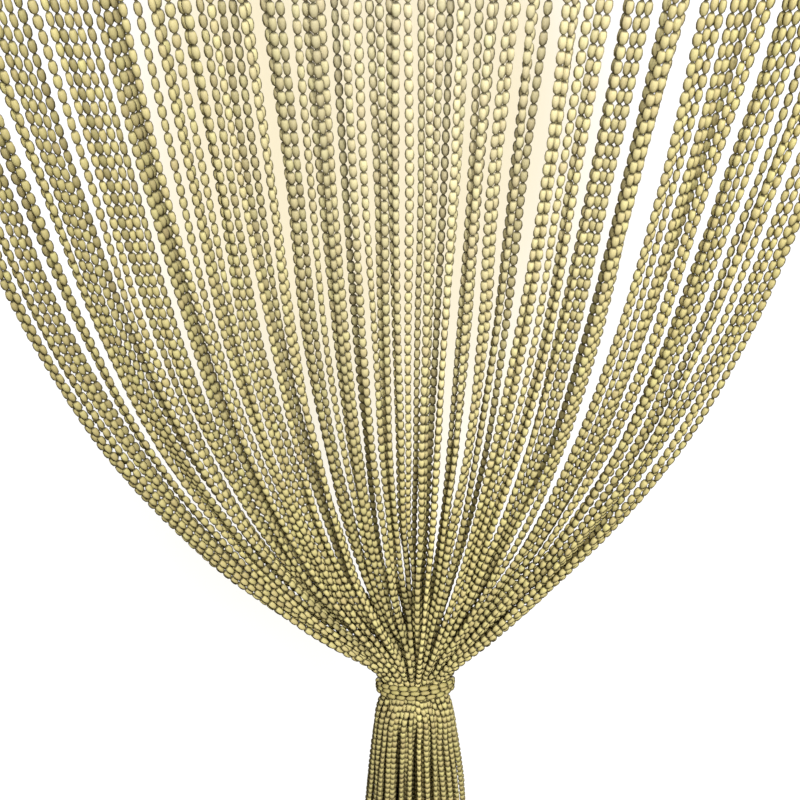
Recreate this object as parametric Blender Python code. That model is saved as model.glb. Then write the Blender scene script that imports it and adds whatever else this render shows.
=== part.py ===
"""A bead curtain, drawn together by a strand of its own beads.

A hundred strands of beads hang from a narrow heading tape.  A bead strand is
wound three times round them below the middle, so that they fan out from the
heading, bend in to the waist and open again in a tail.  Every strand is cut
to the same length, so the strands that travel furthest sideways end highest.

Metres, +Z up.  The origin is the middle of the heading's top edge, and -Y is
the side that faces the room.
"""

import math

import bmesh
import bpy
import numpy as np

# The heading tape
HEADING_WIDTH = 0.900
HEADING_HEIGHT = 0.028
HEADING_THICKNESS = 0.0032

# The bead strands
STRANDS = 100
STRAND_LENGTH = 1.972
LENGTH_SPREAD = 0.004
STRAND_RADIUS = 0.00275
ROOT_RADIUS = 0.0012
ROOT_DEPTH = 0.010
ROOT_DROP = 0.003
TAPE_MARGIN = 0.002
STRAND_SIDES = 3

# The waist, where the tie holds the strands together
WAIST_X = 0.028
WAIST_Z = -1.360
WAIST_HALF_WIDTH = 0.0370
WAIST_HALF_DEPTH = 0.0155
WAIST_TOP = 0.037
WAIST_BOTTOM = -0.014
WAIST_RADIUS_SHARE = 0.65
SKIN_STRANDS = 28
SKIN_THICKNESS = 0.0048
SKIN_STEPS = 720
HEART_PITCH = 0.00418
HEART_TURN = math.radians(17)
HELD_MARGIN_ACROSS = 0.0005
HELD_MARGIN_DEEP = 0.0010

# The fan: how far the outermost strands stand from the waist's middle line,
# how deep the bundle is, and how thick a strand is against STRAND_RADIUS
FAN_ROWS = (
    # height above waist, left edge, right edge, half depth, radius share
    (1.332, 0.4760, 0.4220, 0.0000, 1.00),
    (0.950, 0.4050, 0.3490, 0.0060, 1.00),
    (0.720, 0.3720, 0.3150, 0.0060, 1.00),
    (0.540, 0.3440, 0.2870, 0.0065, 1.00),
    (0.400, 0.3020, 0.2490, 0.0085, 1.00),
    (0.290, 0.2510, 0.2015, 0.0110, 1.00),
    (0.200, 0.1950, 0.1530, 0.0150, 1.00),
    (0.130, 0.1410, 0.1100, 0.0200, 1.00),
    (0.080, 0.0920, 0.0770, 0.0215, 1.00),
    (0.057, 0.0600, 0.0560, 0.0190, 0.88),
    (0.036, 0.0475, 0.0445, 0.0158, 0.68),
    (0.018, 0.0370, 0.0370, 0.0155, 0.65),
    (-0.013, 0.0370, 0.0370, 0.0155, 0.65),
    (-0.038, 0.0420, 0.0430, 0.0205, 0.88),
    (-0.100, 0.0490, 0.0505, 0.0250, 1.00),
    (-0.220, 0.0585, 0.0625, 0.0310, 1.00),
    (-0.400, 0.0700, 0.0740, 0.0360, 1.00),
    (-0.620, 0.0760, 0.0800, 0.0400, 1.00),
)

# Slender gaps that open between two neighbours and close again
GAP_ROWS = (
    # strand on its left, extra width, height of its middle, half its length
    (5, 0.0025, 0.540, 0.050),
    (10, 0.0030, 0.700, 0.070),
    (14, 0.0045, 0.740, 0.140),
    (21, 0.0055, 0.625, 0.110),
    (24, 0.0040, 0.700, 0.090),
    (27, 0.0060, 0.780, 0.180),
    (31, 0.0030, 0.560, 0.060),
    (32, 0.0035, 0.270, 0.070),
    (34, 0.0045, 0.760, 0.150),
    (36, 0.0045, 0.235, 0.110),
    (38, 0.0030, 0.500, 0.060),
    (42, 0.0040, 0.820, 0.110),
    (46, 0.0045, 0.700, 0.240),
    (47, 0.0035, 0.210, 0.060),
    (50, 0.0055, 0.700, 0.300),
    (54, 0.0040, 0.680, 0.220),
    (58, 0.0025, 0.830, 0.110),
    (60, 0.0030, 0.560, 0.240),
    (62, 0.0055, 0.740, 0.280),
    (65, 0.0060, 0.760, 0.220),
    (68, 0.0040, 0.800, 0.150),
    (71, 0.0050, 0.860, 0.140),
    (75, 0.0045, 0.760, 0.170),
    (77, 0.0060, 0.290, 0.080),
    (79, 0.0055, 0.730, 0.220),
    (87, 0.0030, 0.750, 0.070),
    (91, 0.0055, 0.640, 0.140),
    (94, 0.0050, 0.530, 0.080),
)
GAP_CROWDING = 3.0

# Furrows: valleys where the strands lie deeper and the front ones part
FURROW_ROWS = (
    # lowest height, highest height, place across at each, half width, how far back, how far open
    (0.070, 0.320, -0.0150, -0.0020, 0.0065, 0.0120, 0.0080),
    (0.070, 0.210, -0.0420, -0.1300, 0.0100, 0.0050, 0.0000),
    (-0.620, -0.090, -0.0280, -0.0200, 0.0050, 0.0040, 0.0050),
)

# Bunching: strands stray sideways from even steps, so that some hang behind others
BUNCH_ROWS = (
    # height above waist, share of the bunching
    (1.332, 0.00),
    (0.950, 0.60),
    (0.720, 1.00),
    (0.400, 1.00),
    (0.200, 0.40),
    (0.080, 0.00),
    (-0.620, 0.00),
)
BUNCH = 0.0021
BUNCH_LIMIT = 0.0045
BUNCH_SEED = 3
EVEN_EDGE = 3
WANDER = 0.0010
WANDER_SEED = 12
SPREAD_REACH = 0.20
# The rows of the fan rise towards the back: metres up for each metre of depth
SLANT = 1.4
# Below the waist the inner strands move outwards: less than 1 spreads them more evenly
TAIL_EVENNESS = 0.88
CLEARANCE = 0.00595
WAIST_CLEARANCE = 0.00420
PUSH_ROUNDS = 400
PULL_ROUNDS = 240
PUSH_SHARES = (0.0, 0.25, 0.5, 0.75, 1.0)
PUSH_STEP = 0.40
PULL_BACK_ACROSS = 0.10
PULL_BACK_DEPTH = 0.02

# The tie: one bead strand wound round the waist
TIE_RADIUS = 0.0031
TIE_HALF_WIDTH = 0.0436
TIE_HALF_DEPTH = 0.0225
TIE_TURNS = 3.15
TIE_START = math.radians(40)
TIE_MIDDLE = 0.007
TIE_RISE = 0.0062
TIE_TILT = 0.0180
TIE_LEAN = 0.0040
TIE_FLARE_ACROSS = 0.0003
TIE_FLARE_DEEP = 0.0025
TIE_STEPS_PER_TURN = 28


def fan_columns():
    """The fan's table as arrays: heights, left, right, depth and radius."""
    return np.array(FAN_ROWS).T


def heading_places():
    """Where each strand leaves the heading, across the curtain."""
    last = HEADING_WIDTH / 2 - TAPE_MARGIN
    return np.linspace(-last, last, STRANDS)


def skin_places():
    """The outermost strands in the waist: a ring of even steps."""
    turn = np.linspace(0.0, 2 * math.pi, SKIN_STEPS + 1)
    x = WAIST_HALF_WIDTH * np.cos(turn)
    y = WAIST_HALF_DEPTH * np.sin(turn)
    run = np.concatenate(([0.0], np.cumsum(np.hypot(np.diff(x), np.diff(y)))))
    at = (np.arange(SKIN_STRANDS) + 0.5) / SKIN_STRANDS * run[-1]
    return list(zip(np.interp(at, run, x), np.interp(at, run, y)))


def heart_places():
    """The strands inside the skin: the innermost points of a honeycomb."""
    row_step = HEART_PITCH * math.sqrt(3) / 2
    columns = int(WAIST_HALF_WIDTH / row_step) + 2
    rows = int(WAIST_HALF_WIDTH / HEART_PITCH) + 2
    points = []
    for column in range(-columns, columns + 1):
        for row in range(-rows, rows + 1):
            straight = column * row_step
            deep = (row + 0.5 * (column % 2)) * HEART_PITCH
            x = straight * math.cos(HEART_TURN) - deep * math.sin(HEART_TURN)
            y = straight * math.sin(HEART_TURN) + deep * math.cos(HEART_TURN)
            reach = math.hypot(x / (WAIST_HALF_WIDTH - SKIN_THICKNESS),
                               y / (WAIST_HALF_DEPTH - SKIN_THICKNESS))
            points.append((reach, x, y))
    points.sort()
    return [(x, y) for reach, x, y in points[:STRANDS - SKIN_STRANDS]]


def waist_places():
    """Strand places in the waist, from left to right."""
    return np.array(sorted(skin_places() + heart_places()))


def gap_shift(height):
    """How far the gaps push each strand sideways at one height."""
    ranks = np.arange(STRANDS)
    shift = np.zeros(STRANDS)
    for left_strand, width, middle, half_length in GAP_ROWS:
        along = (height - middle) / half_length
        if abs(along) < 1:
            opening = width * math.cos(along * math.pi / 2) ** 2
            offset = ranks - (left_strand + 0.5)
            crowding = np.exp(-(np.abs(offset) - 0.5) / GAP_CROWDING)
            shift += opening / 2 * np.sign(offset) * crowding
    return shift


def furrow_shift(height, across, deep):
    """How far the furrows push each strand sideways and backwards at one height."""
    shift = np.zeros((STRANDS, 2))
    for low, high, low_place, high_place, half_width, backwards, opening in FURROW_ROWS:
        if low <= height <= high:
            middle = low_place + (high_place - low_place) * (height - low) / (high - low)
            offset = (across - middle) / half_width
            shift[:, 0] += opening / 2 * np.sign(offset) * np.exp(-np.abs(offset)) * (deep < 0)
            shift[:, 1] += backwards * np.exp(-offset * offset)
    return shift


def bunch_shift():
    """How far each strand strays sideways at each row of the fan."""
    rows = np.array(BUNCH_ROWS[::-1]).T
    share = np.interp(fan_columns()[0], rows[0], rows[1])
    rng = np.random.default_rng(BUNCH_SEED)
    stray = rng.normal(0.0, BUNCH, STRANDS).clip(-BUNCH_LIMIT, BUNCH_LIMIT)
    stray[:EVEN_EDGE] = 0
    stray[-EVEN_EDGE:] = 0
    return share[:, None] * stray[None, :]


def wished_places():
    """Where each strand would run at each row of the fan if it met no other."""
    heights, left, right, depth, radius = fan_columns()
    across = heading_places() - WAIST_X
    side = np.where(across < 0, left[0], right[0])
    heading_share = across / side
    waist = waist_places()
    waist_share = waist[:, 0] / WAIST_HALF_WIDTH
    depth_share = waist[:, 1] / WAIST_HALF_DEPTH
    rng = np.random.default_rng(WANDER_SEED)
    wander = rng.normal(0.0, WANDER, (len(heights), STRANDS, 2))
    places = np.zeros((len(heights), STRANDS, 2))
    bunched = bunch_shift()
    for k, height in enumerate(heights):
        opened = min(max(height / SPREAD_REACH, 0.0), 1.0)
        blend = opened * opened * (3 - 2 * opened)
        share = waist_share + (heading_share - waist_share) * blend
        if height < WAIST_BOTTOM:
            share = np.sign(share) * np.abs(share) ** TAIL_EVENNESS
        slanted = height + SLANT * blend * depth_share * depth[k]
        left_edge = np.interp(-slanted, -heights, left)
        right_edge = np.interp(-slanted, -heights, right)
        edge = np.where(share < 0, left_edge, right_edge)
        places[k, :, 0] = share * edge + gap_shift(height) + bunched[k]
        places[k, :, 1] = depth_share * depth[k]
        places[k] += furrow_shift(height, places[k, :, 0], places[k, :, 1])
        if 0 < k and not WAIST_BOTTOM < height < WAIST_TOP:
            places[k] += wander[k]
    return places


def push_apart(wished):
    """Moves strands that would touch, mostly forwards and backwards."""
    heights, left, right, depth, radius = fan_columns()
    places = wished.copy()
    radius_need = WAIST_CLEARANCE + (CLEARANCE - WAIST_CLEARANCE) * (
        (radius - WAIST_RADIUS_SHARE) / (1 - WAIST_RADIUS_SHARE))
    itself = np.eye(STRANDS) * CLEARANCE * 10
    for turn in range(PUSH_ROUNDS):
        pull_share = max(0.0, 1 - turn / PULL_ROUNDS)
        moves = np.zeros_like(places)
        for k in range(len(heights) - 1):
            rise = heights[k] - heights[k + 1]
            lean = (places[k, :, 0] - places[k + 1, :, 0]) / rise
            upright = 1 / np.sqrt(1 + lean * lean)
            cosine = (upright[:, None] + upright[None, :]) / 2
            for share in PUSH_SHARES:
                here = (1 - share) * places[k] + share * places[k + 1]
                need = (1 - share) * radius_need[k] + share * radius_need[k + 1]
                dx = (here[:, None, 0] - here[None, :, 0]) * cosine
                dy = here[:, None, 1] - here[None, :, 1]
                apart = np.sqrt(dx * dx + dy * dy) + itself + 1e-9
                short = np.maximum(need - apart, 0.0) * PUSH_STEP
                step_x = (short * dx / apart).sum(axis=1)
                step_y = (short * dy / apart).sum(axis=1)
                step = np.stack((step_x, step_y), axis=1)
                moves[k] += step * (1 - share)
                moves[k + 1] += step * share
        moves[0] = 0
        places += moves
        pull = (wished - places) * pull_share
        pull[0] = 0
        places[:, :, 0] += pull[:, :, 0] * PULL_BACK_ACROSS
        places[:, :, 1] += pull[:, :, 1] * PULL_BACK_DEPTH
        for k in np.flatnonzero((WAIST_BOTTOM < heights) & (heights < WAIST_TOP)):
            edge = np.where(places[k, :, 0] < 0, left[k], right[k]) + HELD_MARGIN_ACROSS
            reach = np.hypot(places[k, :, 0] / edge, places[k, :, 1] / (depth[k] + HELD_MARGIN_DEEP))
            places[k] /= np.maximum(reach, 1.0)[:, None]
    return places


def strand_points():
    """Each strand's points, from inside the heading down to its cut end."""
    heights = fan_columns()[0]
    places = push_apart(wished_places())
    rng = np.random.default_rng(WANDER_SEED + 1)
    lengths = STRAND_LENGTH + rng.uniform(-LENGTH_SPREAD, LENGTH_SPREAD, STRANDS)
    strands = []
    for i in range(STRANDS):
        points = [np.array((places[k, i, 0] + WAIST_X, places[k, i, 1], WAIST_Z + heights[k]))
                  for k in range(len(heights))]
        run = sum(np.linalg.norm(b - a) for a, b in zip(points[:-2], points[1:-1]))
        last = points[-1] - points[-2]
        points[-1] = points[-2] + last / np.linalg.norm(last) * (lengths[i] - run)
        strands.append(points)
    return strands


def material(name, colour, roughness):
    """A plain plastic or cloth finish."""
    finish = bpy.data.materials.new(name)
    finish.use_nodes = True
    shader = finish.node_tree.nodes["Principled BSDF"]
    shader.inputs["Base Color"].default_value = (*colour, 1.0)
    shader.inputs["Roughness"].default_value = roughness
    shader.inputs["Metallic"].default_value = 0.0
    return finish


def tube(name, points, radii, collection, **bevel):
    """A curve with filled caps through the points."""
    curve = bpy.data.curves.new(name, "CURVE")
    curve.dimensions = "3D"
    curve.use_fill_caps = True
    for key, value in bevel.items():
        setattr(curve, key, value)
    spline = curve.splines.new("POLY")
    spline.points.add(len(points) - 1)
    for spot, point, radius in zip(spline.points, points, radii):
        spot.co = (*point, 1.0)
        spot.radius = radius
    made = bpy.data.objects.new(name, curve)
    collection.objects.link(made)
    return made


def profile(name, sides, radius, collection):
    """A flat ring of a few sides, which a strand's curve carries along."""
    curve = bpy.data.curves.new(name, "CURVE")
    curve.dimensions = "2D"
    curve.fill_mode = "NONE"
    spline = curve.splines.new("POLY")
    spline.points.add(sides - 1)
    for k, spot in enumerate(spline.points):
        angle = 2 * math.pi * k / sides + math.pi / 2
        spot.co = (radius * math.cos(angle), radius * math.sin(angle), 0.0, 1.0)
    spline.use_cyclic_u = True
    ring = bpy.data.objects.new(name, curve)
    collection.objects.link(ring)
    return ring


def as_mesh(name, curve_object, collection):
    """The curve as a closed mesh, its caps welded, in the curve's place."""
    bpy.context.view_layer.update()
    graph = bpy.context.evaluated_depsgraph_get()
    mesh = bpy.data.meshes.new_from_object(curve_object.evaluated_get(graph))
    work = bmesh.new()
    work.from_mesh(mesh)
    bmesh.ops.remove_doubles(work, verts=work.verts, dist=0.00001)
    bmesh.ops.recalc_face_normals(work, faces=work.faces)
    work.to_mesh(mesh)
    work.free()
    mesh.name = name
    made = bpy.data.objects.new(name, mesh)
    made.matrix_world = curve_object.matrix_world.copy()
    collection.objects.link(made)
    bpy.data.objects.remove(curve_object)
    return made


def make_strands(collection, cutters, finish):
    """The heading tape with all the strands, rooted in its lower edge."""
    ring = profile("strand_profile", STRAND_SIDES, STRAND_RADIUS, cutters)
    radius = fan_columns()[4]
    radii = [ROOT_RADIUS / STRAND_RADIUS, ROOT_RADIUS / STRAND_RADIUS, *radius[1:]]
    curve = bpy.data.curves.new("hanging_strands", "CURVE")
    curve.dimensions = "3D"
    curve.use_fill_caps = True
    curve.bevel_mode = "OBJECT"
    curve.bevel_object = ring
    for points in strand_points():
        root = points[0] + np.array((0.0, 0.0, ROOT_DEPTH))
        swell = points[0] - np.array((0.0, 0.0, ROOT_DROP))
        path = [root, swell, *points[1:]]
        spline = curve.splines.new("POLY")
        spline.points.add(len(path) - 1)
        for spot, point, share in zip(spline.points, path, radii):
            spot.co = (*point, 1.0)
            spot.radius = share
    hanging = bpy.data.objects.new("hanging_strands", curve)
    cutters.objects.link(hanging)
    hanging = as_mesh("hanging_strands", hanging, cutters)

    bpy.ops.mesh.primitive_cube_add(size=1.0, location=(0.0, 0.0, -HEADING_HEIGHT / 2))
    heading = bpy.context.object
    heading.name = "strands"
    heading.scale = (HEADING_WIDTH, HEADING_THICKNESS, HEADING_HEIGHT)
    bpy.ops.object.transform_apply(location=False, rotation=False, scale=True)
    for owner in heading.users_collection:
        owner.objects.unlink(heading)
    collection.objects.link(heading)
    heading.data.materials.append(finish)
    hanging.data.materials.clear()
    hanging.data.materials.append(finish)
    join = heading.modifiers.new("rooted strands", "BOOLEAN")
    join.operation = "UNION"
    join.solver = "EXACT"
    join.object = hanging
    hanging.hide_render = True
    hanging.display_type = "WIRE"
    ring.hide_render = True
    return heading


def tie_points():
    """The tie's middle line: flat turns that step down and slightly out."""
    steps = round(TIE_TURNS * TIE_STEPS_PER_TURN)
    points = []
    for k in range(steps + 1):
        turn = TIE_TURNS * k / steps
        angle = TIE_START + 2 * math.pi * turn
        x = WAIST_X + (TIE_HALF_WIDTH + TIE_FLARE_ACROSS * turn) * math.cos(angle)
        y = (TIE_HALF_DEPTH + TIE_FLARE_DEEP * turn) * math.sin(angle)
        fall = TIE_RISE * (turn - TIE_TURNS / 2)
        slope = TIE_TILT * math.sin(angle) - TIE_LEAN * math.cos(angle)
        z = WAIST_Z + TIE_MIDDLE - fall - slope
        points.append((x, y, z))
    return points


def make_tie(collection, cutters, finish):
    """The bead strand that is wound round the waist, its ends tucked behind."""
    points = tie_points()
    path = tube("tie_path", points, [1.0] * len(points), cutters,
                bevel_depth=TIE_RADIUS, bevel_resolution=1)
    tie = as_mesh("tie", path, collection)
    tie.data.materials.clear()
    tie.data.materials.append(finish)
    tie.data.shade_smooth()
    return tie


def main():
    for old in list(bpy.data.objects):
        bpy.data.objects.remove(old)
    scene = bpy.context.scene
    parts = bpy.data.collections.new("bead_curtain")
    cutters = bpy.data.collections.new("cutters")
    scene.collection.children.link(parts)
    scene.collection.children.link(cutters)
    beads = material("khaki_beads", (0.49, 0.43, 0.20), 0.42)
    tie_beads = material("tie_beads", (0.49, 0.43, 0.20), 0.42)
    make_strands(parts, cutters, beads)
    make_tie(parts, cutters, tie_beads)


main()
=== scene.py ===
# %% [markdown]
# # A bead curtain drawn together at the waist
# The real curtain is a hundred strings of oval plastic beads that hang from a narrow tape.
# One more string of the same beads is wound three times round them, below the middle.
# The solids that came with the frame give every strand its place and its length.
# This lesson gives each strand its beads, the tie its turns and the tape its weave.

import math

import bpy
import numpy as np
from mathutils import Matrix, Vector


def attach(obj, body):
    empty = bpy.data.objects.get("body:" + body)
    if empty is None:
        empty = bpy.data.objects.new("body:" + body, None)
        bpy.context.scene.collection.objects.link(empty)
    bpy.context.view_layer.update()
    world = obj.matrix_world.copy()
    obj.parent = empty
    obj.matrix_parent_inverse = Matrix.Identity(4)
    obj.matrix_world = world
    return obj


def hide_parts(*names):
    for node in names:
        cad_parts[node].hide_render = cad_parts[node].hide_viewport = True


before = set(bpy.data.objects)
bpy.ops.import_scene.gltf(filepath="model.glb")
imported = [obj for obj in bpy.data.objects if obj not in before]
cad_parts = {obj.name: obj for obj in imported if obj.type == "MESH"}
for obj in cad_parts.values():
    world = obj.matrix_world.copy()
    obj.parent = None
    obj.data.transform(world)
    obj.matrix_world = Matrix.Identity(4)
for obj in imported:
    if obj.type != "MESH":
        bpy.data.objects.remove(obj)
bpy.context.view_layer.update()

# %% [markdown]
# ## The camera
# The beads are the ruler here. Their pitch shrinks evenly from the top of the picture to the
# waist, and the beads on the tie, which lie across the view, look almost twice as long as the
# ones above it. Both say that the camera looks down on the curtain, at about 44 degrees.

# %% Camera
WAIST_X = 0.028
WAIST_Z = -1.360
CAMERA_LEFT_OF_WAIST = 0.018
CAMERA_ABOVE_WAIST = 1.286
CAMERA_DISTANCE = 0.840
CAMERA_TILT = math.radians(44.0)
SENSOR_MM = 36.0
PICTURE_PX = 800
FOCAL_PX = 1254

camera_data = bpy.data.cameras.new("camera")
camera_data.sensor_width = SENSOR_MM
camera_data.lens = camera_data.sensor_width * FOCAL_PX / PICTURE_PX
camera = bpy.data.objects.new("camera", camera_data)
camera.location = (WAIST_X - CAMERA_LEFT_OF_WAIST, -CAMERA_DISTANCE, WAIST_Z + CAMERA_ABOVE_WAIST)
camera.rotation_euler = (math.pi / 2 - CAMERA_TILT, 0.0, 0.0)
bpy.context.scene.collection.objects.link(camera)
bpy.context.scene.camera = camera
print("lens", round(camera_data.lens, 1), "mm")

# %% [markdown]
# ## The fan of strands
# A strand leaves the tape at its own place, bends in to the waist and opens again in the tail.
# A short table says how wide and how deep the fan is at each height. Three more tables make
# it as uneven as the real one: gaps that light shows through, furrows where the strands lie
# deeper, and bunching, which hides some strands behind others. The three outermost strands
# on each side stay out of the bunching, so the fan keeps a clean edge. Strands that would
# touch are then pushed apart, mostly forwards and backwards, as real ones slide over each
# other. The same rules shaped the solids, so the beads land where the solids are.

# %% Sizes of the fan
HEADING_WIDTH = 0.900
HEADING_HEIGHT = 0.028
HEADING_THICKNESS = 0.0032
STRANDS = 100
STRAND_LENGTH = 1.972
LENGTH_SPREAD = 0.004
TAPE_MARGIN = 0.002
WAIST_HALF_WIDTH = 0.0370
WAIST_HALF_DEPTH = 0.0155
WAIST_TOP = 0.037
WAIST_BOTTOM = -0.014
WAIST_RADIUS_SHARE = 0.65
SKIN_STRANDS = 28
SKIN_THICKNESS = 0.0048
SKIN_STEPS = 720
HEART_PITCH = 0.00418
HEART_TURN = math.radians(17)
HELD_MARGIN_ACROSS = 0.0005
HELD_MARGIN_DEEP = 0.0010

FAN_ROWS = (
    # height above waist, left edge, right edge, half depth, radius share
    (1.332, 0.4760, 0.4220, 0.0000, 1.00),
    (0.950, 0.4050, 0.3490, 0.0060, 1.00),
    (0.720, 0.3720, 0.3150, 0.0060, 1.00),
    (0.540, 0.3440, 0.2870, 0.0065, 1.00),
    (0.400, 0.3020, 0.2490, 0.0085, 1.00),
    (0.290, 0.2510, 0.2015, 0.0110, 1.00),
    (0.200, 0.1950, 0.1530, 0.0150, 1.00),
    (0.130, 0.1410, 0.1100, 0.0200, 1.00),
    (0.080, 0.0920, 0.0770, 0.0215, 1.00),
    (0.057, 0.0600, 0.0560, 0.0190, 0.88),
    (0.036, 0.0475, 0.0445, 0.0158, 0.68),
    (0.018, 0.0370, 0.0370, 0.0155, 0.65),
    (-0.013, 0.0370, 0.0370, 0.0155, 0.65),
    (-0.038, 0.0420, 0.0430, 0.0205, 0.88),
    (-0.100, 0.0490, 0.0505, 0.0250, 1.00),
    (-0.220, 0.0585, 0.0625, 0.0310, 1.00),
    (-0.400, 0.0700, 0.0740, 0.0360, 1.00),
    (-0.620, 0.0760, 0.0800, 0.0400, 1.00),
)

GAP_ROWS = (
    # strand on its left, extra width, height of its middle, half its length
    (5, 0.0025, 0.540, 0.050),
    (10, 0.0030, 0.700, 0.070),
    (14, 0.0045, 0.740, 0.140),
    (21, 0.0055, 0.625, 0.110),
    (24, 0.0040, 0.700, 0.090),
    (27, 0.0060, 0.780, 0.180),
    (31, 0.0030, 0.560, 0.060),
    (32, 0.0035, 0.270, 0.070),
    (34, 0.0045, 0.760, 0.150),
    (36, 0.0045, 0.235, 0.110),
    (38, 0.0030, 0.500, 0.060),
    (42, 0.0040, 0.820, 0.110),
    (46, 0.0045, 0.700, 0.240),
    (47, 0.0035, 0.210, 0.060),
    (50, 0.0055, 0.700, 0.300),
    (54, 0.0040, 0.680, 0.220),
    (58, 0.0025, 0.830, 0.110),
    (60, 0.0030, 0.560, 0.240),
    (62, 0.0055, 0.740, 0.280),
    (65, 0.0060, 0.760, 0.220),
    (68, 0.0040, 0.800, 0.150),
    (71, 0.0050, 0.860, 0.140),
    (75, 0.0045, 0.760, 0.170),
    (77, 0.0060, 0.290, 0.080),
    (79, 0.0055, 0.730, 0.220),
    (87, 0.0030, 0.750, 0.070),
    (91, 0.0055, 0.640, 0.140),
    (94, 0.0050, 0.530, 0.080),
)
GAP_CROWDING = 3.0

FURROW_ROWS = (
    # lowest height, highest height, place across at each, half width, how far back, how far open
    (0.070, 0.320, -0.0150, -0.0020, 0.0065, 0.0120, 0.0080),
    (0.070, 0.210, -0.0420, -0.1300, 0.0100, 0.0050, 0.0000),
    (-0.620, -0.090, -0.0280, -0.0200, 0.0050, 0.0040, 0.0050),
)

BUNCH_ROWS = (
    # height above waist, share of the bunching
    (1.332, 0.00),
    (0.950, 0.60),
    (0.720, 1.00),
    (0.400, 1.00),
    (0.200, 0.40),
    (0.080, 0.00),
    (-0.620, 0.00),
)
BUNCH = 0.0021
BUNCH_LIMIT = 0.0045
BUNCH_SEED = 3
EVEN_EDGE = 3
WANDER = 0.0010
WANDER_SEED = 12
SPREAD_REACH = 0.20
SLANT = 1.4
TAIL_EVENNESS = 0.88
CLEARANCE = 0.00595
WAIST_CLEARANCE = 0.00420
PUSH_ROUNDS = 400
PULL_ROUNDS = 240
PUSH_SHARES = (0.0, 0.25, 0.5, 0.75, 1.0)
PUSH_STEP = 0.40
PULL_BACK_ACROSS = 0.10
PULL_BACK_DEPTH = 0.02
FAR_APART = CLEARANCE * 10
NOT_ZERO = 1e-9


def fan_columns():
    """The fan's table as arrays: heights, left, right, depth and radius."""
    return np.array(FAN_ROWS).T


# %% Where the strands sit in the heading and in the waist
def heading_places():
    """Where each strand leaves the heading, across the curtain."""
    last = HEADING_WIDTH / 2 - TAPE_MARGIN
    return np.linspace(-last, last, STRANDS)


def skin_places():
    """The outermost strands in the waist: a ring of even steps."""
    turn = np.linspace(0.0, 2 * math.pi, SKIN_STEPS + 1)
    x = WAIST_HALF_WIDTH * np.cos(turn)
    y = WAIST_HALF_DEPTH * np.sin(turn)
    run = np.concatenate(([0.0], np.cumsum(np.hypot(np.diff(x), np.diff(y)))))
    at = (np.arange(SKIN_STRANDS) + 0.5) / SKIN_STRANDS * run[-1]
    return list(zip(np.interp(at, run, x), np.interp(at, run, y)))


def heart_places():
    """The strands inside the skin: the innermost points of a honeycomb."""
    row_step = HEART_PITCH * math.sqrt(3) / 2
    columns = int(WAIST_HALF_WIDTH / row_step) + 2
    rows = int(WAIST_HALF_WIDTH / HEART_PITCH) + 2
    points = []
    for column in range(-columns, columns + 1):
        for row in range(-rows, rows + 1):
            straight = column * row_step
            deep = (row + 0.5 * (column % 2)) * HEART_PITCH
            x = straight * math.cos(HEART_TURN) - deep * math.sin(HEART_TURN)
            y = straight * math.sin(HEART_TURN) + deep * math.cos(HEART_TURN)
            reach = math.hypot(x / (WAIST_HALF_WIDTH - SKIN_THICKNESS),
                               y / (WAIST_HALF_DEPTH - SKIN_THICKNESS))
            points.append((reach, x, y))
    points.sort()
    return [(x, y) for reach, x, y in points[:STRANDS - SKIN_STRANDS]]


def waist_places():
    """Strand places in the waist, from left to right."""
    return np.array(sorted(skin_places() + heart_places()))


# %% How the strands wish to run
def gap_shift(height):
    """How far the gaps push each strand sideways at one height."""
    ranks = np.arange(STRANDS)
    shift = np.zeros(STRANDS)
    for left_strand, width, middle, half_length in GAP_ROWS:
        along = (height - middle) / half_length
        if abs(along) < 1:
            opening = width * math.cos(along * math.pi / 2) ** 2
            offset = ranks - (left_strand + 0.5)
            crowding = np.exp(-(np.abs(offset) - 0.5) / GAP_CROWDING)
            shift += opening / 2 * np.sign(offset) * crowding
    return shift


def furrow_shift(height, across, deep):
    """How far the furrows push each strand sideways and backwards at one height."""
    shift = np.zeros((STRANDS, 2))
    for low, high, low_place, high_place, half_width, backwards, opening in FURROW_ROWS:
        if low <= height <= high:
            middle = low_place + (high_place - low_place) * (height - low) / (high - low)
            offset = (across - middle) / half_width
            shift[:, 0] += opening / 2 * np.sign(offset) * np.exp(-np.abs(offset)) * (deep < 0)
            shift[:, 1] += backwards * np.exp(-offset * offset)
    return shift


def bunch_shift():
    """How far each strand strays sideways at each row of the fan."""
    rows = np.array(BUNCH_ROWS[::-1]).T
    share = np.interp(fan_columns()[0], rows[0], rows[1])
    rng = np.random.default_rng(BUNCH_SEED)
    stray = rng.normal(0.0, BUNCH, STRANDS).clip(-BUNCH_LIMIT, BUNCH_LIMIT)
    stray[:EVEN_EDGE] = 0
    stray[-EVEN_EDGE:] = 0
    return share[:, None] * stray[None, :]


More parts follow.
